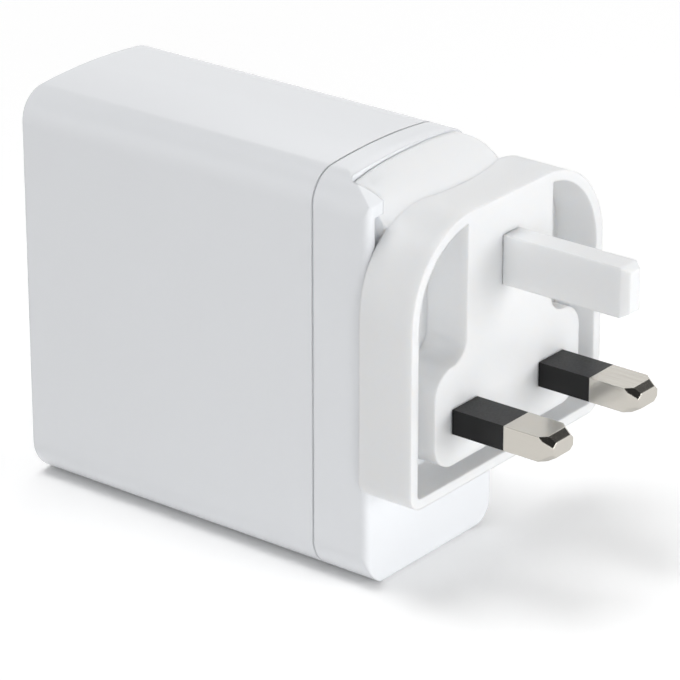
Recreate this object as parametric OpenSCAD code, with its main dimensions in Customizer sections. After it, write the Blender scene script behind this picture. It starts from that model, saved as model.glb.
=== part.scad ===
// Laptop power adapter: a tall, slim mains block whose three-pin plug head slides
// down into a dock in the front cover. Millimetres, standing on its base, +Z up.
// The origin is on the resting plane, under the middle of the plug head's width.

/* [Case] */
// Width of the case across its narrow side
case_w = 32.3; // [31:0.1:36]
// Height of the case, at the middle of its top
case_h = 66.5; // [65:0.1:72]
// Depth of the main shell, from its back face to the seam
shell_d = 58.2; // [57:0.1:66]
// Depth of the front cover, from the seam to its front face
cover_d = 10.5; // [10.3:0.1:12]
// Radius of the gentle crown across the top
crown_r = 110; // [90:5:200]
// Radius of the long edges at the top
top_r = 5.3; // [4.5:0.1:6]
// Radius of the long edges at the bottom
low_r = 6; // [4.5:0.1:7]
// Radius round the back face
back_edge_r = 1; // [0.8:0.1:2.5]
// Wall of the shell and of the cover
wall = 2; // [1.6:0.1:2.2]
// Open groove at the seam between shell and cover
seam_gap = 0.25; // [0.1:0.05:0.5]
// Length of the cover's spigot inside the shell
spigot_len = 2.5; // [1.5:0.1:3]
// Wall of that spigot
spigot_wall = 1.2; // [0.8:0.1:1.6]
// Radius of the roll from the top of the cover to its front
roll_r = 11.7; // [10:0.1:14]
// How far behind the front face that roll begins
roll_run = 7.5; // [6:0.1:8]
// Radius of the cover's front edges at its sides and bottom
front_edge_r = 1.2; // [0.6:0.1:1.6]

/* [Plug head] */
// Width of the rim
rim_w = 48.8; // [47:0.1:50]
// Height of the rim
rim_h = 44.1; // [43:0.1:46]
// How far the rim reaches below the middle of the two lower pins
rim_below = 11.6; // [11:0.1:12.5]
// Depth of the rim behind the engagement face
rim_d = 9.8; // [9:0.1:11]
// Wall of the rim
rim_wall = 1.7; // [1.2:0.1:2]
// Radius of the rim's upper corners
rim_top_r = 15; // [12:0.1:17]
// Radius of the rim's lower corners
rim_low_r = 2.6; // [2.3:0.1:4]
// Depth of the pocket between the rim and the raised face
pocket_d = 7.5; // [6:0.1:7.8]
// Width of the raised face's neck, round the earth pin
neck_w = 21.6; // [18:0.1:24]
// Width of the raised face's lower part
face_w = 37.1; // [34:0.1:39]
// Height of that lower part above the pin line
face_above = 9; // [7:0.1:11]
// Reach of that lower part below the pin line
face_below = 7.2; // [6:0.1:8]
// Radius of its corners
face_r = 4.4; // [3:0.1:5.5]
// Radius of the hollow corners where the neck meets it
neck_r = 3.4; // [2:0.1:4]
// Sideways distance from the middle of the case to the middle of the pins
plug_offset = 5.8; // [4:0.1:7]
// Height of the pin line above the base
pin_line_z = 28.7; // [28.5:0.1:31]

/* [Pins] */
// Distance between the two lower pins, centre to centre
pin_pitch = 22.23; // [22.13:0.01:22.33]
// Width of a lower pin
pin_w = 6.35; // [6.22:0.01:6.48]
// Thickness of a lower pin
pin_t = 4; // [3.9:0.01:4.05]
// Reach of a lower pin in front of the engagement face
pin_len = 18; // [17.2:0.1:18.2]
// Length of the insulating sleeve in front of the engagement face
sleeve_len = 9.4; // [8.5:0.1:9.5]
// Wall of the insulating sleeve
sleeve_wall = 0.5; // [0.4:0.05:0.8]
// Width of the earth pin
earth_w = 4; // [3.9:0.01:4.05]
// Height of the earth pin's section
earth_t = 7.95; // [7.8:0.01:8.05]
// Reach of the earth pin
earth_len = 22.4; // [22.2:0.1:23.2]
// Height of the earth pin above the pin line
earth_z = 22.23; // [22.1:0.01:22.36]
// Length of the bevels at a pin's tip, on its two broad faces
tip_len = 1.3; // [1:0.05:2]
// Depth of those bevels
tip_cut = 0.75; // [0.5:0.05:1.2]
// Length of the bevels at a pin's tip, on its two narrow faces
tip_side_len = 1.6; // [1:0.1:3]
// Depth of those bevels
tip_side_cut = 0.6; // [0.4:0.05:1.3]
// How far the facet at a tip's corners reaches along each edge of the broad faces
tip_corner = 1; // [0.5:0.1:1.4]
// Slope of that facet against the broad faces, in degrees
tip_corner_slope = 50; // [40:1:55]
// Length of the bevels at the earth pin's tip
earth_tip_len = 1.3; // [1:0.1:2]
// Depth of those bevels at its top and bottom
earth_tip_cut = 0.7; // [0.5:0.1:1.6]
// Depth of those bevels at its sides
earth_side_cut = 0.8; // [0.5:0.1:1]
// Depth to which pins and sleeves are set in the raised face
sleeve_seat = 1.5; // [1:0.1:2]
// Depth of the roots of the pins behind the engagement face
root_d = 6.8; // [5:0.1:7]

/* [Dock] */
// Wall of the lips beside the widest part of the dock
lip_t = 1.85; // [1.6:0.05:2.2]
// How much the docked block widens on each side towards its back
block_flare = 1.7; // [1:0.1:2]
// Depth of that block behind the front of the case
block_d = 5.5; // [5:0.1:6]
// Reach of the block below the pin line
block_below = 8; // [7:0.1:9]
// Radius of the block's back corners, seen from above
dock_r = 1.3; // [0.8:0.1:1.5]
// Radius of the block's front corners, seen from above
block_r = 3; // [2:0.1:4]
// How far the block's shoulder stands in front of the case above the rim
shoulder_reach = 2.1; // [1:0.1:2.2]
// How far the block's top and its cap lie under the skin of the case
block_sink = 0.4; // [0.2:0.05:0.6]
// Radius of the roll from the block's top to its front
block_roll_r = 12; // [10:0.1:14]
// Radius, seen from above, of the arch on which that roll begins
arch_r = 30; // [25:0.5:60]
// Sideways distance from the middle of the case to the middle of that arch
arch_offset = 3.8; // [0:0.1:5.8]
// Height of the cap that covers the right-hand lip
cap_h = 8.5; // [7:0.1:10]
// Radius of the cap's front corner, seen from above
cap_r = 1.5; // [0.8:0.1:2]
// Sliding clearance between block and dock
slide_gap = 0.2; // [0.1:0.02:0.3]
// Width of the ledge on the block's left, beside its top
ledge_w = 0.9; // [0.5:0.05:1.2]
// How far that ledge lies below the top of the case
ledge_drop = 2.5; // [1.5:0.1:4]
// Depth of the relief in the front of each lip
relief_d = 1.6; // [1:0.1:2]
// Wall left between that relief and the side of the case
relief_wall = 1.6; // [1.2:0.1:1.8]
// How far the relief ends below the top of the case
relief_drop = 5.6; // [4:0.1:7]
// Thickness of the plate that closes the block's back
plate_t = 1.5; // [1.2:0.1:1.8]
// Margin between that plate and the block's edges
plate_margin = 2.4; // [2:0.1:4]
// Thickness of the dock's floor and rear wall
dock_wall = 2; // [1.6:0.1:2.2]

/* [Contacts] */
// Thickness of the contact blades
blade_t = 0.8; // [0.6:0.05:1]
// Width of the contact blades
blade_w = 4; // [3:0.1:4.5]
// Reach of the blades below the block
blade_len = 6; // [5:0.1:7]
// Distance between the two blades, centre to centre
blade_pitch = 14; // [12:0.1:16]
// Thickness of the fork springs and of their tails
fork_t = 0.5; // [0.4:0.05:0.6]
// Gap between a blade and each leaf of its fork
fork_gap = 0.05; // [0.02:0.01:0.1]
// Height of the block that holds the forks
holder_h = 11; // [10:0.1:13]
// Gap between that block and the inside of the cover
holder_gap = 0.95; // [0.5:0.05:1.5]
// Wall of that block over and under a tail
holder_wall = 0.6; // [0.5:0.05:1]
// Thickness of the detent leaf
detent_t = 0.4; // [0.3:0.05:0.5]
// Width of the detent leaf
detent_w = 6; // [4:0.1:8]
// Length of the detent leaf
detent_len = 22; // [18:0.5:24]
// How far the detent's nose reaches into the dock
detent_reach = 0.5; // [0.3:0.05:0.7]
// Radius of the detent's nose
detent_r = 1.5; // [1:0.1:2]

/* [Boards] */
// Thickness of the main board
board_t = 1.6; // [1.2:0.1:1.8]
// Thickness of the insulating sheet behind the main board
sheet_t = 0.4; // [0.2:0.05:0.6]
// Margin between the main board's ends and the rounding of the case's corners
board_margin = 0.2; // [0.1:0.1:2]
// Margin between the main board and the case's back wall
board_end = 2; // [1.5:0.1:2.5]
// Thickness of the output board
output_t = 1; // [0.8:0.1:1.6]
// Height of the output board
output_h = 26; // [22:0.5:30]
// Thickness of the heat spreader
spreader_t = 1; // [0.5:0.1:1]

/* [Socket] */
// Width of the USB-C receptacle's shell
usb_w = 8.94; // [8.9:0.01:9]
// Height of that shell
usb_h = 3.26; // [3.2:0.01:3.3]
// Wall of that shell
usb_wall = 0.3; // [0.25:0.01:0.35]
// Length of that shell
usb_len = 8; // [7.5:0.1:9]
// How far the shell's mouth lies inside the back face
usb_inset = 0.4; // [0.2:0.1:1]
// Width of the contact tongue
tongue_w = 6.7; // [6.6:0.01:6.8]
// Thickness of the contact tongue
tongue_t = 0.7; // [0.65:0.01:0.75]

/* [Components] */
// Clearance between neighbouring components, and from them to the board's edges
part_gap = 0.8; // [0.6:0.05:1]
// Clearance between the tallest components and the heat spreader
top_gap = 2.3; // [1.5:0.1:4]
// Length of the transformer core, front to back
core_l = 24; // [20:0.5:25]
// Height of the transformer core above the board's face
core_lift = 1; // [0.5:0.1:1.5]
// How far the winding stands out of the core
winding_over = 2.5; // [2:0.1:3]
// Diameter of the bulk capacitors
bulk_dia = 12; // [10:0.5:12.5]
// Width of a power switch
switch_w = 8; // [6:0.5:9]
// Height of a power switch
switch_h = 5; // [4:0.1:6]
// Thickness of a power switch
switch_t = 0.9; // [0.8:0.1:1.2]
// Room for solder above the contacts' tails
lead_room = 5; // [4:0.1:6]
// Width of the fuse
fuse_w = 4; // [3.5:0.1:4.5]
// Height of the fuse
fuse_h = 8.4; // [8:0.1:9]
// Reach of the fuse above the board
fuse_d = 8; // [7:0.1:9]
// Width of the film capacitor
film_w = 6; // [5:0.1:6.5]
// Reach of the film capacitor above the board
film_d = 12; // [10:0.1:14]
// Width of the bridge rectifier
bridge_w = 9; // [8:0.1:10]
// Height of the bridge rectifier
bridge_h = 8.4; // [8:0.1:9]
// Thickness of the bridge rectifier
bridge_t = 2.5; // [2:0.1:3]
// Diameter of the disc capacitor
disc_dia = 7; // [6:0.1:8]
// Thickness of the disc capacitor
disc_t = 3; // [2.5:0.1:3.5]
// Diameter of the input choke's core
choke_dia = 13; // [11:0.5:13]
// Thickness of the input choke's core
choke_t = 6; // [5:0.5:8]
// Thickness of the wire round it
choke_wire = 1; // [0.8:0.1:1.2]
// Diameter of the output capacitors
out_dia = 6.3; // [5:0.1:6.3]
// Gap between the output capacitors
out_gap = 1.7; // [1:0.1:2]
// Height of the output capacitors
out_len = 9; // [7:0.5:11]

/* [Hidden] */
$fn = 64;

// Places along the case, measured forward from its back face
front_x = shell_d + cover_d;
face_x = front_x + slide_gap + rim_d;
overall_d = face_x + earth_len;
dock_back_x = front_x - block_d - slide_gap;
cap_z = case_h - cap_h;
inner_w = case_w - 2 * wall;
block_back_w = case_w - 2 * (lip_t + slide_gap);
block_w = block_back_w - 2 * block_flare;
block_floor_z = pin_line_z - block_below;
dock_floor_z = block_floor_z - slide_gap;
roll_x = front_x - roll_run;

// The plug's blades and the forks that take them
blade_x = front_x - block_d + plate_t;
blade_y = [-blade_pitch / 2, blade_pitch / 2];
pin_y = [-pin_pitch / 2, pin_pitch / 2];
fork_depth = blade_len + 1;
fork_top_z = dock_floor_z - dock_wall;
holder_z = fork_top_z - holder_h;
tail_z = [holder_z + holder_wall, fork_top_z - fork_depth - fork_t - holder_wall];
tail_len = 3;

// The boards stand against the right-hand wall
board_y = inner_w / 2 - sheet_t - board_t;
board_x = wall + board_end;
board_front = shell_d - spigot_len - 0.4;
board_l = board_front - board_x;
output_x = usb_inset + usb_len;
usb_z = case_h / 2;

// Upper corner centres, placed so that the corners run smoothly into the crown
crown_z = case_h - crown_r;
top_y = case_w / 2 - top_r;
top_z = crown_z + sqrt((crown_r - top_r) * (crown_r - top_r) - top_y * top_y);
low_y = case_w / 2 - low_r;
board_z = low_r + board_margin;
board_h = top_z - board_margin - board_z;

cut = 0.01;
over = 1;

// ---- Frames ----

// Children are drawn from the middle of the case's back face at the base
module at_case() translate([-overall_d / 2, -plug_offset, 0]) children();

// Children are drawn from the middle of the pin line on the engagement face
module at_plug() translate([face_x - overall_d / 2, 0, pin_line_z]) children();

// ---- Shapes ----

// Extrudes a side-to-side outline (Y across, Z up) from x0 to x1
module along_x(x0, x1)
    translate([x0, 0, 0]) rotate([90, 0, 90]) linear_extrude(x1 - x0) children();

// Extrudes a front-to-back outline (X across, Z up) over the width w
module along_y(w)
    translate([0, w / 2, 0]) rotate([90, 0, 0]) linear_extrude(w) children();

// Extrudes an outline seen from above from z0 to z1
module along_z(z0, z1) translate([0, 0, z0]) linear_extrude(z1 - z0) children();

// A block from corner p, of size s
module block(p, s) translate(p) cube(s);

// A rectangle with round corners, centred across and standing on 0
module round_rect(w, h, r) {
    translate([-w / 2 + r, 0]) square([w - 2 * r, h]);
    translate([-w / 2, r]) square([w, h - 2 * r]);
    for (x = [-w / 2 + r, w / 2 - r], y = [r, h - r]) translate([x, y]) circle(r);
}

// ---- Case ----

// The sector of the crown that lies between the upper corners
module crown_sector() {
    out = 2 * top_r * [top_y, top_z - crown_z] / (crown_r - top_r);
    polygon([[-top_y, top_z], [top_y, top_z], [top_y + out[0], top_z + out[1]],
             [-top_y - out[0], top_z + out[1]]]);
}

// Outline of the case across its depth, or of its inside with an inset
module case_outline(inset = 0) {
    half = case_w / 2 - inset;
    translate([-half, low_r]) square([2 * half, top_z - low_r]);
    translate([-low_y, inset]) square([2 * low_y, top_z - inset]);
    for (y = [-1, 1]) {
        translate([y * low_y, low_r]) circle(low_r - inset);
        translate([y * top_y, top_z]) circle(top_r - inset);
    }
    intersection() {
        crown_sector();
        translate([0, crown_z]) circle(crown_r - inset, $fn = 720);
    }
}

// Half outline with a rounded corner: h across, x1 along, r the radius at its start
module rounded_start(h, x1, r) {
    translate([0, r]) square([h, x1 - r]);
    square([h - r, x1]);
    translate([h - r, r]) circle(r);
}

// The same turned about an axis along X
module round_started_bar(h, x1, r, fine = 64)
    rotate([0, 90, 0]) rotate_extrude($fn = fine) rounded_start(h, x1, r);

// The case as a bar from its back face to x1, with a rounded edge round that face
module round_backed_bar(x1, r) {
    along_z(low_r, top_z) for (side = [0, 1])
        mirror([0, side]) rotate(90) mirror([0, 1]) rounded_start(case_w / 2, x1, r);
    translate([0, 0, top_z]) mirror([0, 0, 1]) translate([0, low_y, 0]) rotate([90, 0, 0])
        linear_extrude(2 * low_y) rotate(90) mirror([0, 1]) rounded_start(top_z, x1, r);
    for (y = [-1, 1]) {
        translate([0, y * low_y, low_r]) round_started_bar(low_r, x1, r);
        translate([0, y * top_y, top_z]) round_started_bar(top_r, x1, r);
    }
    intersection() {
        translate([0, 0, crown_z]) round_started_bar(crown_r, x1, r, 720);
        along_x(0, x1) crown_sector();
    }
}

// All that lies under the crowned top and its roll down to the front
module rolled_top(end_x) translate([0, 0, crown_z]) rotate([0, 90, 0])
    rotate_extrude($fn = 720) intersection() {
        square([crown_r, end_x]);
        union() {
            square([crown_r, roll_x]);
            square([crown_r - roll_r, end_x]);
            translate([crown_r - roll_r, roll_x]) circle(roll_r, $fn = 128);
        }
    }

// Side view of the cover, with its lower front edge rounded
module cover_profile() difference() {
    square([front_x, case_h]);
    translate([front_x - front_edge_r, 0]) difference() {
        translate([0, -over]) square([front_edge_r + over, front_edge_r + over]);
        translate([0, front_edge_r]) circle(front_edge_r);
    }
}

// The cover seen from above, with its front corners rounded
module cover_plan() {
    translate([0, -case_w / 2]) square([front_x - front_edge_r, case_w]);
    translate([0, front_edge_r - case_w / 2]) square([front_x, case_w - 2 * front_edge_r]);
    for (y = [-1, 1])
        translate([front_x - front_edge_r, y * (case_w / 2 - front_edge_r)]) circle(front_edge_r);
}

module usb_slot(grow, x0, x1)
    translate([0, 0, usb_z - usb_h / 2 - grow])
        along_x(x0, x1) round_rect(usb_w + 2 * grow, usb_h + 2 * grow, usb_h / 2 + grow - cut);

module main_shell() color("white") at_case() difference() {
    round_backed_bar(shell_d - seam_gap / 2, back_edge_r);
    along_x(wall, shell_d + over) case_outline(wall);
    usb_slot(0.15, -over, wall + over);
    usb_slot(0.5, -over, usb_inset);
}

// The dovetail from above, wide and round at its back, grown by the sliding clearance
module dovetail(grow, end) {
    back = front_x - block_d - grow;
    half = block_back_w / 2 + grow;
    slope = atan(block_flare / block_d);
    r = dock_r + grow;
    corner_y = half - r * tan(slope) - r / cos(slope);
    side = [back + r + r * sin(slope), corner_y + r * cos(slope)];
    end_y = half - (end - back) * tan(slope);
    polygon([[back, -corner_y], [side[0], -side[1]], [end, -end_y],
             [end, end_y], [side[0], side[1]], [back, corner_y]]);
    for (y = [-corner_y, corner_y]) translate([back + r, y]) circle(r);
}

// The dock, open at its top, and on the right above the lip that the cap covers
module dock_room() {
    along_z(dock_floor_z, case_h + over) dovetail(slide_gap, front_x + over);
    block([dock_back_x, 0, cap_z - slide_gap], [block_d + slide_gap + over, case_w, cap_h + over]);
}

// The relief down the front of each lip, under its solid top
module lip_reliefs() for (side = [0, 1]) mirror([0, side, 0])
    block([front_x - relief_d, block_w / 2, dock_floor_z],
          [relief_d + over, case_w / 2 - relief_wall - block_w / 2, case_h - relief_drop - dock_floor_z]);

// The slots in the dock's floor that let the blades through
module blade_slots() for (y = blade_y)
    block([blade_x - slide_gap, y - blade_w / 2 - slide_gap, dock_floor_z - dock_wall - over],
          [blade_t + 2 * slide_gap, blade_w + 2 * slide_gap, dock_wall + 2 * over]);

detent_z = case_h - ledge_drop - detent_r - detent_len / 2;

// The nose of the detent leaf, or with a gap added, the room that it needs
module detent_nose(gap, x0)
    translate([dock_back_x + detent_reach - detent_r, 0, detent_z])
        intersection() {
            rotate([90, 0, 0]) cylinder(r = detent_r + gap, h = detent_w - 2 + 2 * gap, center = true);
            block([x0 - dock_back_x, -detent_w, -detent_w], [2 * detent_w, 2 * detent_w, 2 * detent_w]);
        }

module front_cover() color("white") at_case() difference() {
    union() {
        intersection() {
            along_x(shell_d + seam_gap / 2, front_x) case_outline();
            rolled_top(front_x);
            along_y(case_w) cover_profile();
            along_z(0, case_h) cover_plan();
        }
        along_x(shell_d - spigot_len, shell_d + over) case_outline(wall);
    }
    // hollow behind the dock, inside the spigot
    along_x(shell_d - spigot_len - over, dock_back_x - dock_wall) case_outline(wall + spigot_wall);
    // hollow under the dock
    intersection() {
        along_x(shell_d - over, front_x - wall) case_outline(wall + spigot_wall);
        block([0, -case_w, 0], [front_x, 2 * case_w, dock_floor_z - dock_wall]);
    }
    dock_room();
    lip_reliefs();
    blade_slots();
    block([dock_back_x - dock_wall - over, -detent_w / 2, detent_z - detent_r - 0.6],
          [dock_wall + 2 * over, detent_w, 2 * detent_r + 1.2]);
}

// ---- Contacts in the dock ----

holder_x = dock_back_x - dock_wall;
fork_x = blade_x - fork_gap - fork_t;
fork_w = blade_w;
holder_w = inner_w - 2 * (spigot_wall + holder_gap);

module contact_block() color("dimgray") at_case() difference() {
    block([holder_x, -holder_w / 2, holder_z], [front_x - wall - holder_x, holder_w, holder_h]);
    for (i = [0, 1]) {
        block([fork_x, blade_y[i] - fork_w / 2, tail_z[i]],
              [front_x, fork_w, fork_top_z]);
        block([holder_x - over, blade_y[i] - fork_w / 2, tail_z[i]],
              [fork_x - holder_x + 2 * over, fork_w, fork_t]);
    }
}

// A fork spring: two leaves, their foot, and the tail that runs back to the board
module fork_contact(i) {
    foot_z = tail_z[i];
    side_y = blade_y[i] - fork_w / 2;
    far_x = blade_x + blade_t + fork_gap;
    bend_z = fork_top_z - fork_depth - fork_t;
    end_x = board_front - tail_len - 0.5;
    block([fork_x, side_y, foot_z], [fork_t, fork_w, fork_top_z - foot_z]);
    block([far_x, side_y, bend_z], [fork_t, fork_w, fork_depth + fork_t]);
    block([fork_x, side_y, bend_z], [far_x + fork_t - fork_x, fork_w, fork_t]);
    block([end_x, side_y, foot_z], [fork_x + fork_t - end_x, fork_w, fork_t]);
    block([end_x, side_y, foot_z], [tail_len, board_y - side_y, fork_t]);
}

module live_contact() color("goldenrod") at_case() fork_contact(0);
module neutral_contact() color("goldenrod") at_case() fork_contact(1);

module detent_spring() color("silver") at_case() {
    leaf_x = dock_back_x - dock_wall - detent_t;
    block([leaf_x, -detent_w / 2, detent_z - detent_len / 2], [detent_t, detent_w, detent_len]);
    detent_nose(0, leaf_x);
    block([leaf_x, -detent_w / 2 + 1, detent_z - detent_r],
          [dock_wall + detent_t - detent_r + detent_reach + cut, detent_w - 2, 2 * detent_r]);
}

// ---- Boards and what stands on them ----

// Room above the board, and the stacks up its back and its front
tall_room = board_y + inner_w / 2 - spreader_t;
disc_x = output_x + output_t + part_gap + disc_t / 2;
core_x = disc_x + disc_t / 2 + part_gap;
switch_z = board_z + bulk_dia + 2 * part_gap;
core_z = switch_z + switch_h + part_gap + winding_over;
out_z = board_z + board_h - part_gap - out_dia / 2;
core_h = out_z - out_dia / 2 - part_gap - winding_over - core_z;
core_d = tall_room * 3 / 4;
fuse_z = tail_z[1] + fork_t + lead_room;
film_z = fuse_z + fuse_h + part_gap;
bridge_z = board_z + board_h - part_gap - bridge_h;
choke_x = board_front - choke_dia / 2 - part_gap;
choke_z = bridge_z - part_gap - choke_dia / 2;
film_h = choke_z - choke_dia / 2 - part_gap - film_z;

// Children are drawn on the main board's face: X and Z along it, Y out of it
module on_board(x, z) translate([x, board_y, z]) mirror([0, 1, 0]) children();

module main_board() color("darkgreen") at_case()
    block([board_x, board_y, board_z], [board_l, board_t, board_h]);

module insulation_sheet() color("gainsboro") at_case()
    block([board_x, board_y + board_t, board_z], [board_l, sheet_t, board_h]);

module output_board() color("darkgreen") at_case()
    block([output_x, 2 - board_y, usb_z - output_h / 2], [output_t, 2 * board_y - 2, output_h]);

module round_part(d, len) rotate([-90, 0, 0]) cylinder(r = d / 2, h = len);

module bulk_capacitors() color("navy") at_case() for (i = [0 : 2])
    on_board(board_x + bulk_dia + i * (bulk_dia + part_gap), board_z + part_gap + bulk_dia / 2)
        round_part(bulk_dia, tall_room - top_gap);

module output_capacitors() color("silver") at_case() for (i = [1 : 3])
    on_board(board_x + i * (out_dia + out_gap), out_z) round_part(out_dia, out_len);

// Two E-shaped halves that meet in the middle of the winding
module transformer_core() color("dimgray") at_case() on_board(core_x, core_z) difference() {
    block([0, core_lift, 0], [core_l, core_d, core_h]);
    for (x = [core_l / 6, core_l - core_l / 6 - core_l / 5])
        block([x, core_lift + core_d / 5, -over], [core_l / 5, core_d * 3 / 5, core_h + 2 * over]);
}

module transformer_winding() color("gold") at_case() on_board(core_x, core_z) {
    for (x = [core_l / 6, core_l - core_l / 6 - core_l / 5])
        block([x, core_lift + core_d / 5, -winding_over],
              [core_l / 5, core_d * 3 / 5, core_h + 2 * winding_over]);
    for (z = [-winding_over, core_h])
        block([core_l / 6, core_lift + core_d / 5, z], [core_l * 2 / 3, core_d * 3 / 5, winding_over]);
    for (x = [core_l / 4, core_l * 3 / 4])
        block([x, 0, -winding_over], [core_lift, core_lift + core_d / 5 + cut, winding_over]);
}

module choke_core() color("darkslategray") at_case() on_board(choke_x, choke_z)
    translate([0, choke_wire, 0]) difference() {
        round_part(choke_dia - 2 * choke_wire, choke_t);
        translate([0, -over, 0]) round_part(choke_dia / 2.5, choke_t + 2 * over);
    }

// Two coils, one round each side of the ring
module choke_windings() color("peru") at_case() on_board(choke_x, choke_z)
    for (side = [-1, 1]) difference() {
        intersection() {
            round_part(choke_dia, choke_t + 2 * choke_wire);
            block([-choke_dia, 0, side * choke_dia / 2 - choke_dia / 2 + side * 1.5],
                  [2 * choke_dia, choke_dia, choke_dia]);
        }
        translate([0, -over, 0]) round_part(choke_dia / 2.5 - 2 * choke_wire, choke_t + 4 * over);
        translate([0, choke_wire, 0]) difference() {
            round_part(choke_dia - 2 * choke_wire, choke_t);
            translate([0, -over, 0]) round_part(choke_dia / 2.5, choke_t + 2 * over);
        }
    }

module fuse() color("saddlebrown") at_case()
    on_board(board_front - fuse_w - part_gap, fuse_z) block([0, 0, 0], [fuse_w, fuse_d, fuse_h]);

module x_capacitor() color("gold") at_case()
    on_board(board_front - film_w - part_gap, film_z) block([0, 0, 0], [film_w, film_d, film_h]);

module bridge_rectifier() color("black") at_case()
    on_board(choke_x - bridge_w / 2, bridge_z) block([0, 0, 0], [bridge_w, bridge_t, bridge_h]);

module power_switches() color("black") at_case() for (i = [0, 1])
    on_board(core_x + switch_w * (0.75 + 1.5 * i), switch_z)
        block([0, 0, 0], [switch_w, switch_t, switch_h]);

module y_capacitor() color("royalblue") at_case()
    on_board(disc_x, core_z) {
        translate([-disc_t / 2, core_lift + disc_dia / 2, 0])
            rotate([0, 90, 0]) cylinder(r = disc_dia / 2, h = disc_t);
        block([-disc_t / 6, 0, -disc_dia / 3], [disc_t / 3, core_lift + disc_dia / 2, disc_dia * 2 / 3]);
    }

module heat_spreader() color("silver") at_case()
    block([board_x, -inner_w / 2, board_z + 3], [board_l - 4, spreader_t, board_h - 6]);

// ---- Output socket ----

module usb_c_shell() color("silver") at_case() difference() {
    usb_slot(0, usb_inset, output_x);
    usb_slot(-usb_wall, usb_inset - over, output_x - usb_wall);
}

module usb_c_tongue() color("black") at_case()
    block([usb_inset + 1.2, -tongue_w / 2, usb_z - tongue_t / 2],
          [usb_len - usb_wall - 1.2, tongue_w, tongue_t]);

// ---- Plug head ----

// The rim's outline, or the inside of the rim with an inset
module rim_outline(inset = 0) {
    half = rim_w / 2 - inset;
    top = rim_h - rim_below - inset;
    low = -rim_below + inset;
    top_r = rim_top_r - inset;
    low_r = max(rim_low_r - inset, 0.4);
    translate([-half, low + low_r]) square([2 * half, top - top_r - low - low_r]);
    translate([-half + low_r, low]) square([2 * (half - low_r), top - top_r - low]);
    translate([-half + top_r, 0]) square([2 * (half - top_r), top]);
    for (y = [-1, 1]) {
        translate([y * (half - top_r), top - top_r]) circle(top_r, $fn = 128);
        translate([y * (half - low_r), low + low_r]) circle(low_r);
    }
}

// The raised face: a neck that widens through hollow corners into a broad foot
module face_outline() {
    translate([0, -face_below]) round_rect(face_w, face_above + face_below, face_r);
    translate([-neck_w / 2, 0]) square([neck_w, rim_h - rim_below]);
    for (side = [0, 1]) mirror([side, 0])
        translate([neck_w / 2, face_above]) difference() {
            translate([-over, -over]) square([neck_r + over, neck_r + over]);
            translate([neck_r, neck_r]) circle(neck_r);
        }
}

module rim_body() difference() {
    along_x(-rim_d, 0) rim_outline();
    along_x(-pocket_d, over) difference() {
        rim_outline(rim_wall);
        face_outline();
    }
}

// The docked block from above: a dovetail, and a shoulder round at its front corners
module block_plan() {
    end = front_x + shoulder_reach;
    dovetail(0, front_x);
    translate([front_x - over, -block_w / 2]) square([end - block_r - front_x + over, block_w]);
    translate([front_x - over, block_r - block_w / 2])
        square([shoulder_reach + over, block_w - 2 * block_r]);
    for (y = [-1, 1]) translate([end - block_r, y * (block_w / 2 - block_r)]) circle(block_r);
}

// The cap from above, from the middle of the block out over the right-hand lip
module cap_plan() {
    length = block_d + shoulder_reach;
    translate([front_x - block_d, 0]) {
        square([length - cap_r, case_w / 2 - block_sink]);
        square([length, case_w / 2 - block_sink - cap_r]);
        translate([length - cap_r, case_w / 2 - block_sink - cap_r]) circle(cap_r);
    }
}

// All that lies under the block's top and its arched roll, which passes just over the crown
module arched_top() {
    top = case_h - block_sink + 2 * cut;
    translate([roll_x - arch_r, arch_offset, 0]) rotate_extrude($fn = 360) {
        square([arch_r, top]);
        square([arch_r + block_roll_r, top - block_roll_r]);
        translate([arch_r, top - block_roll_r]) circle(block_roll_r, $fn = 128);
    }
}

module dock_block() intersection() {
    union() {
        along_z(block_floor_z, case_h - ledge_drop) block_plan();
        along_z(case_h - ledge_drop, case_h) intersection() {
            block_plan();
            translate([0, ledge_w - block_back_w / 2]) square([face_x, block_back_w]);
        }
        along_z(cap_z, case_h) cap_plan();
    }
    along_x(0, face_x) case_outline(block_sink);
    arched_top();
}

// The plate in the block's back, or with a length added behind it, the room for it
module plate_form(behind = 0)
    block([front_x - block_d - behind, plate_margin - block_w / 2, block_floor_z + plate_margin],
          [plate_t + behind, block_w - 2 * plate_margin, case_h - block_floor_z - 2 * plate_margin]);

// Root, neck and tip of a lower pin; the sleeve closes round the neck
module pin_form(side) translate([0, pin_y[side], 0]) {
    block([-root_d, -pin_w / 2, -pin_t / 2], [root_d - sleeve_seat, pin_w, pin_t]);
    block([-sleeve_seat - cut, sleeve_wall - pin_w / 2, sleeve_wall - pin_t / 2],
          [sleeve_seat + sleeve_len + 2 * cut, pin_w - 2 * sleeve_wall, pin_t - 2 * sleeve_wall]);
    intersection() {
        tapered_tip(sleeve_len, pin_len, pin_w, pin_t, tip_len, tip_cut, tip_side_len, tip_side_cut);
        corner_facets(-45);
        corner_facets(45);
    }
}

// What a tip's facets leave at one corner: a bar across that corner, with sloping ends
module corner_facets(turn) {
    start = (pin_w / 2 - tip_corner) / sqrt(2);
    end = start + 0.9 * pin_t / 2 / tan(tip_corner_slope);
    half = pin_t / 2;
    translate([pin_len - tip_len, 0, 0]) rotate([0, 0, turn]) along_y(4 * pin_len)
        polygon([[-pin_len, -half], [start, -half], [end, -half / 10], [end, half / 10],
                 [start, half], [-pin_len, half]]);
}

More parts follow.
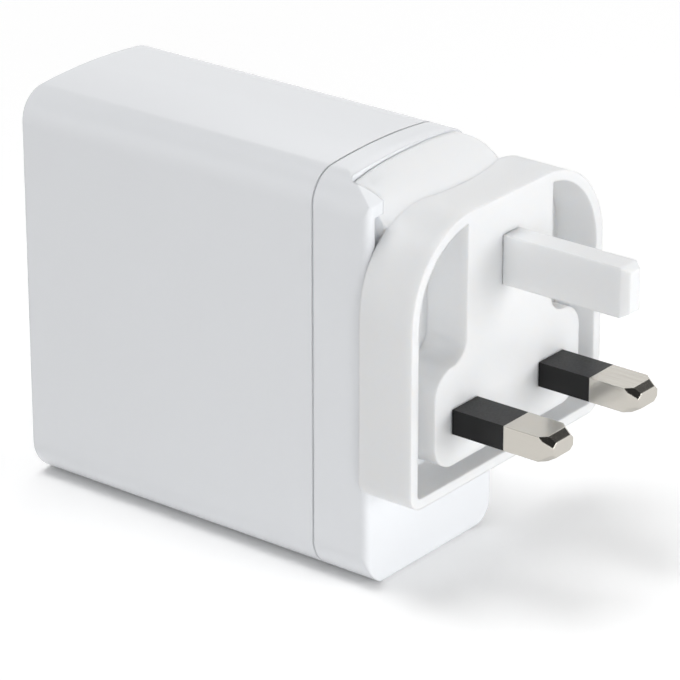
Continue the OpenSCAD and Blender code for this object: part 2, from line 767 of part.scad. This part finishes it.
// A bar along X whose end is bevelled on all four faces
module tapered_tip(x0, x1, w, t, len, depth, side_len, side_depth) intersection() {
    along_y(w) polygon([[x0, -t / 2], [x1 - len, -t / 2], [x1, depth - t / 2],
                        [x1, t / 2 - depth], [x1 - len, t / 2], [x0, t / 2]]);
    along_z(-t / 2, t / 2) polygon([[x0, -w / 2], [x1 - side_len, -w / 2], [x1, side_depth - w / 2],
                                    [x1, w / 2 - side_depth], [x1 - side_len, w / 2], [x0, w / 2]]);
}

module sleeve_form(side) translate([0, pin_y[side], 0])
    block([-sleeve_seat, -pin_w / 2, -pin_t / 2], [sleeve_seat + sleeve_len, pin_w, pin_t]);

module earth_form() translate([0, 0, earth_z])
    tapered_tip(-root_d, earth_len, earth_w, earth_t, earth_tip_len, earth_tip_cut,
                earth_tip_len, earth_side_cut);

// The strip behind a pin: across to its blade, back into the block and down
module strip_form(side) {
    y0 = blade_y[side] - plug_offset;
    back = blade_x - face_x;
    lift = -pin_t / 2;
    y_low = min(pin_y[side] - pin_w / 2, y0 - blade_w / 2);
    y_high = max(pin_y[side] + pin_w / 2, y0 + blade_w / 2);
    block([-root_d - blade_t, y_low, lift], [blade_t, y_high - y_low, pin_t]);
    block([back, y0 - blade_w / 2, lift], [-root_d - back, blade_w, blade_t]);
    block([back, y0 - blade_w / 2, -block_below - blade_len],
          [blade_t, blade_w, block_below + blade_len + lift + blade_t]);
}

module plug_housing() color("white") difference() {
    union() {
        at_plug() rim_body();
        at_case() dock_block();
    }
    at_case() plate_form(over);
    at_plug() for (side = [0, 1]) {
        block([-root_d - cut, pin_y[side] - pin_w / 2, -pin_t / 2], [root_d + over, pin_w, pin_t]);
        strip_form(side);
    }
    at_plug() block([-root_d, -earth_w / 2, earth_z - earth_t / 2], [root_d + over, earth_w, earth_t]);
}

module plug_back_plate() color("whitesmoke") difference() {
    at_case() plate_form();
    at_case() detent_nose(slide_gap, dock_back_x);
}

module earth_pin() color("white") at_plug() earth_form();
module live_pin() color("silver") at_plug() pin_form(0);
module neutral_pin() color("silver") at_plug() pin_form(1);

module sleeve(side) difference() {
    sleeve_form(side);
    pin_form(side);
}

module live_sleeve() color("black") at_plug() sleeve(0);
module neutral_sleeve() color("black") at_plug() sleeve(1);
module live_blade() color("goldenrod") at_plug() strip_form(0);
module neutral_blade() color("goldenrod") at_plug() strip_form(1);

main_shell();
front_cover();
contact_block();
live_contact();
neutral_contact();
detent_spring();
main_board();
insulation_sheet();
fuse();
x_capacitor();
choke_core();
choke_windings();
bridge_rectifier();
bulk_capacitors();
power_switches();
transformer_core();
transformer_winding();
y_capacitor();
output_capacitors();
output_board();
usb_c_shell();
usb_c_tongue();
heat_spreader();
plug_housing();
plug_back_plate();
earth_pin();
live_pin();
neutral_pin();
live_sleeve();
neutral_sleeve();
live_blade();
neutral_blade();
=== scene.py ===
"""Finishes, stage, lamps and camera for a laptop power adapter with a slide-on plug head.

Lengths are in metres unless a name or a comment says millimetres.
"""

import math

import bpy
from bpy.props import FloatProperty, FloatVectorProperty, PointerProperty, StringProperty
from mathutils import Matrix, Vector

bl_info = {
    "name": "Power adapter",
    "version": (1, 0, 0),
    "blender": (4, 5, 0),
    "location": "3D View > Sidebar > Adapter",
    "description": "Dresses a laptop power adapter with moulded plastic, plated pins and a studio",
    "category": "Object",
}

MM = 0.001
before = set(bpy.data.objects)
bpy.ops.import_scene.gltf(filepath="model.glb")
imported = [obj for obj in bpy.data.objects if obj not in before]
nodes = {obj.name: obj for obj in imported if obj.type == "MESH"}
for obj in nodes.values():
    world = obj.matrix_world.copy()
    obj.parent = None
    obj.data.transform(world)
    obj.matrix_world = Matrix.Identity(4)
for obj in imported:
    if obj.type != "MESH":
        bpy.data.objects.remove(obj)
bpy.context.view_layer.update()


# ---- Settings ----


class AdapterSizes(bpy.types.PropertyGroup):
    """Sizes of surface detail, from the real surface unless the description says coarser"""

    edge_radius: FloatProperty(
        name="Edge radius",
        description="Rounding that moulding leaves on the plastic's sharp edges",
        default=0.45 * MM, min=0.05 * MM, max=0.8 * MM, unit="LENGTH",
    )
    pin_edge_radius: FloatProperty(
        name="Pin edge radius",
        description="Rounding on the edges of the pins and their sleeves",
        default=0.18 * MM, min=0.02 * MM, max=0.3 * MM, unit="LENGTH",
    )
    ripple: FloatProperty(
        name="Moulding ripple",
        description="Spacing of the faint ripple in the glossy plastic",
        default=5 * MM, min=1 * MM, max=20 * MM, unit="LENGTH",
    )
    spark_grain: FloatProperty(
        name="Spark grain",
        description="Grain of the satin texture on the plug head, coarser than the real one",
        default=0.35 * MM, min=0.1 * MM, max=2 * MM, unit="LENGTH",
    )
    draw_lines: FloatProperty(
        name="Draw lines",
        description="Spacing of the lines along the plated pins, coarser than the real one",
        default=0.22 * MM, min=0.05 * MM, max=1 * MM, unit="LENGTH",
    )


class AdapterColours(bpy.types.PropertyGroup):
    """Colours as sRGB hex values"""

    case: StringProperty(
        name="Case", description="White of the glossy case", default="EDEFF2"
    )
    plug: StringProperty(
        name="Plug head", description="White of the plug head", default="EBECED"
    )
    sleeve: StringProperty(
        name="Sleeves", description="Black of the insulating sleeves", default="101011"
    )
    plating: StringProperty(
        name="Plating", description="Warm grey of the plated pins", default="C8C4BC"
    )
    floor: StringProperty(
        name="Floor", description="White of the studio floor", default="FAFAFA"
    )


class AdapterStudio(bpy.types.PropertyGroup):
    """Light and camera"""

    sky_light: FloatProperty(
        name="Room light", description="Strength of the even light all round",
        default=0.2, min=0, max=2,
    )
    lamp_power: FloatProperty(
        name="Lamp power", description="Scales the power of all the lamps",
        default=1.0, min=0, max=10,
    )
    floor_lift: FloatProperty(
        name="Floor lift", description="Glow that keeps the open floor white to the camera",
        default=0.24, min=0, max=1,
    )
    camera_place: FloatVectorProperty(
        name="Camera place", description="Where the camera stands",
        default=(0.33980, -0.43927, 0.27068), subtype="TRANSLATION", unit="LENGTH",
    )
    camera_tilt: FloatProperty(
        name="Camera tilt", description="Camera's turn about its own X",
        default=math.radians(66.536), subtype="ANGLE", unit="ROTATION",
    )
    camera_turn: FloatProperty(
        name="Camera turn", description="Camera's turn about the vertical",
        default=math.radians(38.073), subtype="ANGLE", unit="ROTATION",
    )
    lens: FloatProperty(
        name="Lens", description="Focal length in millimetres on a 36 mm sensor",
        default=205.65, min=10, max=400,
    )


# ---- Helpers ----


def linear(hex_colour):
    """An sRGB hex value as linear red, green, blue and 1."""
    parts = [int(hex_colour[i : i + 2], 16) / 255 for i in (0, 2, 4)]
    turned = [c / 12.92 if c <= 0.04045 else ((c + 0.055) / 1.055) ** 2.4 for c in parts]
    return (*turned, 1.0)


def add(tree, kind, sockets=None, **settings):
    """Adds a shader node. A socket goes by its name, or by its number where names repeat,
    and its value is a number, a colour or an output to link."""
    made = tree.nodes.new(kind)
    for name, value in settings.items():
        setattr(made, name, value)
    for name, value in (sockets or {}).items():
        if isinstance(value, bpy.types.NodeSocket):
            tree.links.new(value, made.inputs[name])
        else:
            made.inputs[name].default_value = value
    return made


def new_material(name):
    """An empty node material, its tree, and its object coordinates in metres."""
    material = bpy.data.materials.new(name)
    material.use_nodes = True
    tree = material.node_tree
    tree.nodes.clear()
    place = add(tree, "ShaderNodeTexCoord").outputs["Object"]
    return material, tree, place


def finish_material(tree, shader):
    """Links the shader to the material's output."""
    add(tree, "ShaderNodeOutputMaterial", {"Surface": shader.outputs[0]})


def grain(tree, place, spacing, detail=2.0, stretch=(1, 1, 1)):
    """Noise whose blobs are about one spacing wide, drawn out along the axes by stretch."""
    scale = [1 / (spacing * s) for s in stretch]
    mapped = add(tree, "ShaderNodeMapping", {"Vector": place, "Scale": scale})
    noise = add(
        tree, "ShaderNodeTexNoise",
        {"Vector": mapped.outputs[0], "Scale": 1.0, "Detail": detail, "Roughness": 0.5},
    )
    return noise.outputs["Fac"]


# Noise stays mostly between these two values
NOISE_LOW, NOISE_HIGH = 0.3, 0.7


def spread(tree, value, low, high):
    """Turns noise into a range of values."""
    turned = add(
        tree, "ShaderNodeMapRange",
        {
            "Value": value, "From Min": NOISE_LOW, "From Max": NOISE_HIGH,
            "To Min": low, "To Max": high,
        },
    )
    return turned.outputs["Result"]


def relief(tree, height, depth, edge_radius):
    """Raises the surface by depth where the pattern is 1, and rounds its sharp edges, both
    in the shading only."""
    rounded = add(tree, "ShaderNodeBevel", {"Radius": edge_radius}, samples=6)
    sockets = {
        "Height": height, "Strength": 1.0, "Distance": depth,
        "Normal": rounded.outputs["Normal"],
    }
    return add(tree, "ShaderNodeBump", sockets).outputs["Normal"]


def dress(names, material):
    """Gives CAD nodes a material."""
    for name in names:
        data = nodes[name].data
        data.materials.clear()
        data.materials.append(material)


# ---- Materials ----

# Index of refraction of ABS. The nylon's is set below its real 1.53, because a dry
# glass-filled skin reflects less than a smooth one.
ABS_IOR = 1.53
NYLON_IOR = 1.36

# Heights of the relief: shrink waves, spark grain, lines along the pins, and the grain of
# the parts inside
WAVE_HEIGHT = 0.002 * MM
GRAIN_HEIGHT = 0.003 * MM
LINE_HEIGHT = 0.003 * MM
INNER_GRAIN_HEIGHT = 0.004 * MM

# The lines on the pins are this many times as long as wide, along X
LINE_STRETCH = (60, 1, 1)

# How far the roughness of a part inside strays to either side
ROUGHNESS_STRAY = 0.05


def glossy_abs(name, colour, ripple, edge_radius):
    """ABS and polycarbonate, moulded against a polished tool: a clear soft reflection
    that wavers very slightly where the skin has shrunk. Its haze changes over three
    times the ripple's spacing."""
    material, tree, place = new_material(name)
    wave = grain(tree, place, ripple, detail=0.0)
    haze = grain(tree, place, ripple * 3, detail=0.0)
    shader = add(
        tree, "ShaderNodeBsdfPrincipled",
        {
            "Base Color": linear(colour),
            "IOR": ABS_IOR,
            "Roughness": spread(tree, haze, 0.22, 0.27),
            "Normal": relief(tree, wave, WAVE_HEIGHT, edge_radius),
        },
    )
    finish_material(tree, shader)
    return material


def satin_abs(name, colour, grain_size, ripple, edge_radius):
    """The same plastic from a spark-finished tool: a broad dull sheen, with haze over
    twice the ripple's spacing. Light spreads a millimetre or so under its skin. The real
    grain is near 0.05 mm and is drawn coarser so that it shows."""
    material, tree, place = new_material(name)
    fine = grain(tree, place, grain_size)
    haze = grain(tree, place, ripple * 2)
    shader = add(
        tree, "ShaderNodeBsdfPrincipled",
        {
            "Base Color": linear(colour),
            "Subsurface Weight": 0.9,
            "Subsurface Radius": (1.0, 0.95, 0.9),
            "Subsurface Scale": 1.5 * MM,
            "IOR": ABS_IOR,
            "Roughness": spread(tree, haze, 0.36, 0.44),
            "Normal": relief(tree, fine, GRAIN_HEIGHT, edge_radius),
        },
    )
    finish_material(tree, shader)
    return material


def black_nylon(name, colour, grain_size, edge_radius):
    """Glass-filled nylon, moulded round the pin: near black, with a dry satin sheen. Its
    grain is drawn as coarse as the plug head's."""
    material, tree, place = new_material(name)
    fine = grain(tree, place, grain_size)
    shader = add(
        tree, "ShaderNodeBsdfPrincipled",
        {
            "Base Color": linear(colour),
            "IOR": NYLON_IOR,
            "Roughness": spread(tree, fine, 0.32, 0.42),
            "Normal": relief(tree, fine, GRAIN_HEIGHT, edge_radius),
        },
    )
    finish_material(tree, shader)
    return material


def nickel_plate(name, colour, line_spacing, edge_radius):
    """Bright nickel on drawn brass: a warm mirror, blurred along the drawing lines. The
    real lines are finer than 0.1 mm and are drawn coarser so that they show."""
    material, tree, place = new_material(name)
    lines = grain(tree, place, line_spacing, stretch=LINE_STRETCH)
    shader = add(
        tree, "ShaderNodeBsdfPrincipled",
        {
            "Base Color": linear(colour),
            "Metallic": 1.0,
            "Roughness": spread(tree, lines, 0.08, 0.18),
            "Normal": relief(tree, lines, LINE_HEIGHT, edge_radius),
        },
    )
    finish_material(tree, shader)
    return material


def plain_finish(name, colour, roughness, metallic, grain_size):
    """Finish of a contact or a part inside, with a little grain, and its edges rounded by
    half the size of that grain. The grain is drawn coarser than the real one."""
    material, tree, place = new_material(name)
    fine = grain(tree, place, grain_size)
    low, high = roughness - ROUGHNESS_STRAY, roughness + ROUGHNESS_STRAY
    shader = add(
        tree, "ShaderNodeBsdfPrincipled",
        {
            "Base Color": linear(colour),
            "Metallic": metallic,
            "Roughness": spread(tree, fine, low, high),
            "Normal": relief(tree, fine, INNER_GRAIN_HEIGHT, grain_size / 2),
        },
    )
    finish_material(tree, shader)
    return material


# ---- Pieces ----


class ADAPTER_OT_case(bpy.types.Operator):
    """Gives the shell and the front cover their glossy white skin"""

    bl_idname = "adapter.case"
    bl_label = "Case"

    def execute(self, context):
        sizes, colours = context.scene.adapter_sizes, context.scene.adapter_colours
        skin = glossy_abs(
            "glossy moulded ABS, case", colours.case, sizes.ripple, sizes.edge_radius
        )
        dress(["main_shell", "front_cover"], skin)
        return {"FINISHED"}


class ADAPTER_OT_plug_head(bpy.types.Operator):
    """Gives the plug head and the earth pin their satin white skin"""

    bl_idname = "adapter.plug_head"
    bl_label = "Plug head"

    def execute(self, context):
        sizes, colours = context.scene.adapter_sizes, context.scene.adapter_colours
        skin = satin_abs(
            "satin moulded ABS, plug head", colours.plug, sizes.spark_grain, sizes.ripple,
            sizes.edge_radius,
        )
        dress(["plug_housing", "plug_back_plate", "earth_pin"], skin)
        return {"FINISHED"}


class ADAPTER_OT_pins(bpy.types.Operator):
    """Plates the two lower pins and blackens their sleeves"""

    bl_idname = "adapter.pins"
    bl_label = "Pins"

    def execute(self, context):
        sizes, colours = context.scene.adapter_sizes, context.scene.adapter_colours
        plate = nickel_plate(
            "nickel plated brass, pins", colours.plating, sizes.draw_lines,
            sizes.pin_edge_radius,
        )
        dress(["live_pin", "neutral_pin"], plate)
        nylon = black_nylon(
            "glass filled nylon, sleeves", colours.sleeve, sizes.spark_grain,
            sizes.pin_edge_radius,
        )
        dress(["live_sleeve", "neutral_sleeve"], nylon)
        return {"FINISHED"}


# Each row: the nodes, the material's name and record slot, its sRGB colour, its
# roughness, whether it is metal (1 or 0), and its grain in millimetres
CONTACT_PARTS = [
    (["live_blade", "neutral_blade", "live_contact", "neutral_contact"],
     "stamped brass, contacts", "contact_brass", "C9A155", 0.3, 1, 0.4),
    (["detent_spring"],
     "rolled spring steel, detent", "spring_steel", "A5A5A8", 0.3, 1, 0.3),
    (["contact_block", "usb_c_tongue"],
     "glass filled plastic, holder", "holder_black", "202023", 0.5, 0, 0.4),
]
INNER_PARTS = [
    (["main_board", "output_board"],
     "solder masked laminate", "board_green", "1C5A3A", 0.4, 0, 0.5),
    (["insulation_sheet"], "milky polyester film", "sheet_clear", "D8D8D4", 0.3, 0, 0.5),
    (["fuse"], "moulded fuse case", "fuse_brown", "4A3527", 0.45, 0, 0.5),
    (["x_capacitor"], "film capacitor case", "film_yellow", "D9B63A", 0.3, 0, 0.5),
    (["choke_core", "transformer_core"],
     "sintered ferrite", "ferrite", "36373A", 0.6, 0, 0.5),
    (["choke_windings"], "enamelled copper", "copper_wire", "B5693A", 0.3, 1, 0.5),
    (["transformer_winding"], "polyester tape", "tape_yellow", "D8B238", 0.35, 0, 0.5),
    (["bridge_rectifier", "power_switches"],
     "moulded epoxy", "package_black", "242427", 0.5, 0, 0.5),
    (["bulk_capacitors"], "shrunk film sleeve", "can_black", "23262F", 0.3, 0, 0.5),
    (["output_capacitors"], "bare aluminium can", "can_silver", "D4D4D4", 0.3, 1, 0.5),
    (["y_capacitor"], "dipped ceramic", "disc_blue", "355FA8", 0.4, 0, 0.5),
    (["heat_spreader"], "rolled aluminium", "plain_aluminium", "CFCFD1", 0.35, 1, 0.5),
    (["usb_c_shell"], "drawn stainless steel", "socket_steel", "B9B9BB", 0.28, 1, 0.5),
]


def dress_plainly(parts):
    """Gives the nodes of each row their plain finish."""
    for names, what, slot, colour, roughness, metallic, grain_mm in parts:
        finish = plain_finish(what, colour, roughness, float(metallic), grain_mm * MM)
        dress(names, finish)


class ADAPTER_OT_contacts(bpy.types.Operator):
    """Finishes the blades, forks, their holder and the detent leaf"""

    bl_idname = "adapter.contacts"
    bl_label = "Contacts"

    def execute(self, context):
        dress_plainly(CONTACT_PARTS)
        return {"FINISHED"}


class ADAPTER_OT_inner_parts(bpy.types.Operator):
    """Finishes the boards, their components and the output socket"""

    bl_idname = "adapter.inner_parts"
    bl_label = "Parts inside"

    def execute(self, context):
        dress_plainly(INNER_PARTS)
        return {"FINISHED"}


# ---- Stage ----

# Half the side of the square floor, and its gap below the base, so that the two faces
# don't share a plane
FLOOR_HALF = 3.0
FLOOR_GAP = 0.02 * MM

# The floor's glow is painted light. It fades where something stands over it within this distance,
# and so paints shade beside the adapter.
GLOW_REACH = 18 * MM

# Between these distances from the adapter the floor turns plain white, to the camera and
# in reflections
FLOOR_FADE = (0.15, 0.4)

# Between these heights the room's walls darken to the ceiling's level. They are sines of
# the angle above the horizon, 20 and 44 degrees.
WALL_FADE = (0.35, 0.7)
CEILING_LEVEL = 0.04

# The middle of the adapter, at which the lamps are aimed
LAMP_AIM = (0, 0, 30 * MM)

# Width of the camera's sensor in millimetres
SENSOR_WIDTH = 36


def seen_rays(tree):
    """1 for the rays that see the background: camera, glossy and transmission rays."""
    path = add(tree, "ShaderNodeLightPath")
    first = add(
        tree, "ShaderNodeMath",
        {0: path.outputs["Is Camera Ray"], 1: path.outputs["Is Glossy Ray"]},
        operation="MAXIMUM",
    )
    both = add(
        tree, "ShaderNodeMath",
        {0: first.outputs[0], 1: path.outputs["Is Transmission Ray"]},
        operation="MAXIMUM",
    )
    return both.outputs[0]


def room_walls(tree):
    """The room as metal shows it: white walls that darken towards the ceiling. A camera
    ray finds plain white all over."""
    height = add(
        tree, "ShaderNodeSeparateXYZ",
        {"Vector": add(tree, "ShaderNodeTexCoord").outputs["Generated"]},
    )
    shade = add(
        tree, "ShaderNodeMapRange",
        {
            "Value": height.outputs["Z"],
            "From Min": WALL_FADE[0], "From Max": WALL_FADE[1],
            "To Min": 1.0, "To Max": CEILING_LEVEL,
        },
        interpolation_type="SMOOTHSTEP",
    )
    camera_ray = add(tree, "ShaderNodeLightPath").outputs["Is Camera Ray"]
    strength = add(
        tree, "ShaderNodeMath", {0: camera_ray, 1: shade.outputs["Result"]},
        operation="MAXIMUM",
    )
    return strength.outputs[0]


def far_off(tree, place, near, far):
    """0 up to one distance from the adapter, rising to 1 at the other."""
    distance = add(tree, "ShaderNodeVectorMath", {0: place}, operation="LENGTH")
    rise = add(
        tree, "ShaderNodeMapRange",
        {"Value": distance.outputs["Value"], "From Min": near, "From Max": far},
        interpolation_type="SMOOTHSTEP",
    )
    return rise.outputs["Result"]


# Each lamp: its name, its place, the side of its square and its power in watts
LAMPS = [
    ("top lamp", (-0.2, -0.2, 1.05), 0.5, 5.4),
    ("back lamp", (-0.3, 0.7, 0.8), 0.7, 1.7),
    ("low lamp", (0.9, 0.3, 0.12), 0.5, 5.9),
    ("corner lamp", (0.7, -0.7, 0.15), 0.5, 3.3),
]


def lamp(name, place, size, power):
    """A soft square lamp, aimed at the adapter's middle."""
    data = bpy.data.lights.new(name, "AREA")
    data.size = size
    data.energy = power
    made = bpy.data.objects.new(name, data)
    bpy.context.scene.collection.objects.link(made)
    made.location = place
    aim = Vector(LAMP_AIM) - Vector(place)
    made.rotation_euler = aim.to_track_quat("-Z", "Y").to_euler()


def make_floor(scene, studio):
    """A white paper floor. To the camera and in reflections it glows faintly where it lies open, a
    painted light, so that it shows white. Beside the adapter the glow fades, which paints shade on
    top of the adapter's real shadow."""
    half = FLOOR_HALF
    mesh = bpy.data.meshes.new("floor")
    mesh.from_pydata(
        [(-half, -half, 0), (half, -half, 0), (half, half, 0), (-half, half, 0)],
        [], [(0, 1, 2, 3)],
    )
    floor = bpy.data.objects.new("floor", mesh)
    scene.collection.objects.link(floor)
    floor.location.z = -FLOOR_GAP
    material, tree, place = new_material("white paper sweep")
    paper = add(
        tree, "ShaderNodeBsdfDiffuse", {"Color": linear(scene.adapter_colours.floor)}
    )
    # Ambient occlusion dims the floor's painted glow near the adapter, which paints shade there
    painted_shade_ao = add(
        tree, "ShaderNodeAmbientOcclusion", {"Distance": GLOW_REACH}, samples=8
    )
    glow = add(
        tree, "ShaderNodeMath",
        {0: painted_shade_ao.outputs["AO"], 1: studio.floor_lift}, operation="MULTIPLY",
    )
    lift = add(tree, "ShaderNodeEmission", {"Strength": glow.outputs[0]})
    lit = add(tree, "ShaderNodeAddShader", {0: paper.outputs[0], 1: lift.outputs[0]})
    white = add(tree, "ShaderNodeEmission", {"Strength": 1.0})
    seen = add(
        tree, "ShaderNodeMixShader",
        {0: far_off(tree, place, *FLOOR_FADE), 1: lit.outputs[0], 2: white.outputs[0]},
    )
    choice = add(
        tree, "ShaderNodeMixShader",
        {0: seen_rays(tree), 1: paper.outputs[0], 2: seen.outputs[0]},
    )
    finish_material(tree, choice)
    mesh.materials.append(material)


def make_room(scene, studio):
    """The room: even light on the object, and white walls to the rays that see them."""
    world = bpy.data.worlds.new("white room")
    world.use_nodes = True
    scene.world = world
    tree = world.node_tree
    tree.nodes.clear()
    plain = add(
        tree, "ShaderNodeBackground",
        {"Color": (1, 1, 1, 1), "Strength": studio.sky_light},
    )
    white = add(
        tree, "ShaderNodeBackground",
        {"Color": (1, 1, 1, 1), "Strength": room_walls(tree)},
    )
    mixed = add(
        tree, "ShaderNodeMixShader",
        {0: seen_rays(tree), 1: plain.outputs[0], 2: white.outputs[0]},
    )
    add(tree, "ShaderNodeOutputWorld", {"Surface": mixed.outputs[0]})


def make_camera(scene, studio):
    """The camera that the scene is rendered from."""
    data = bpy.data.cameras.new("camera")
    data.sensor_width = SENSOR_WIDTH
    data.lens = studio.lens
    data.clip_start = 10 * MM
    camera = bpy.data.objects.new("camera", data)
    scene.collection.objects.link(camera)
    camera.location = studio.camera_place
    camera.rotation_euler = (studio.camera_tilt, 0, studio.camera_turn)
    scene.camera = camera


class ADAPTER_OT_stage(bpy.types.Operator):
    """Makes the floor, the room's light, the soft lamps and the camera"""

    bl_idname = "adapter.stage"
    bl_label = "Stage"

    def execute(self, context):
        scene, studio = context.scene, context.scene.adapter_studio
        make_floor(scene, studio)
        make_room(scene, studio)
        for name, place, size, power in LAMPS:
            lamp(name, place, size, power * studio.lamp_power)
        make_camera(scene, studio)
        scene.view_settings.view_transform = "Standard"
        return {"FINISHED"}


class ADAPTER_PT_panel(bpy.types.Panel):
    """Lists the adapter's settings and steps"""

    bl_idname = "ADAPTER_PT_panel"
    bl_label = "Power adapter"
    bl_space_type = "VIEW_3D"
    bl_region_type = "UI"
    bl_category = "Adapter"

    def draw(self, context):
        scene = context.scene
        for group in (scene.adapter_sizes, scene.adapter_colours, scene.adapter_studio):
            for name in group.__annotations__:
                self.layout.prop(group, name)
        for step in STEPS:
            self.layout.operator(step.bl_idname)


STEPS = (
    ADAPTER_OT_case,
    ADAPTER_OT_plug_head,
    ADAPTER_OT_pins,
    ADAPTER_OT_contacts,
    ADAPTER_OT_inner_parts,
    ADAPTER_OT_stage,
)
GROUPS = {
    "adapter_sizes": AdapterSizes,
    "adapter_colours": AdapterColours,
    "adapter_studio": AdapterStudio,
}


def register():
    for kind in (*GROUPS.values(), *STEPS, ADAPTER_PT_panel):
        bpy.utils.register_class(kind)
    for name, kind in GROUPS.items():
        setattr(bpy.types.Scene, name, PointerProperty(type=kind))


def unregister():
    for name in GROUPS:
        delattr(bpy.types.Scene, name)
    for kind in reversed((*GROUPS.values(), *STEPS, ADAPTER_PT_panel)):
        bpy.utils.unregister_class(kind)


def main():
    register()
    bpy.ops.adapter.case()
    bpy.ops.adapter.plug_head()
    bpy.ops.adapter.pins()
    bpy.ops.adapter.contacts()
    bpy.ops.adapter.inner_parts()
    bpy.ops.adapter.stage()


if __name__ == "__main__":
    main()
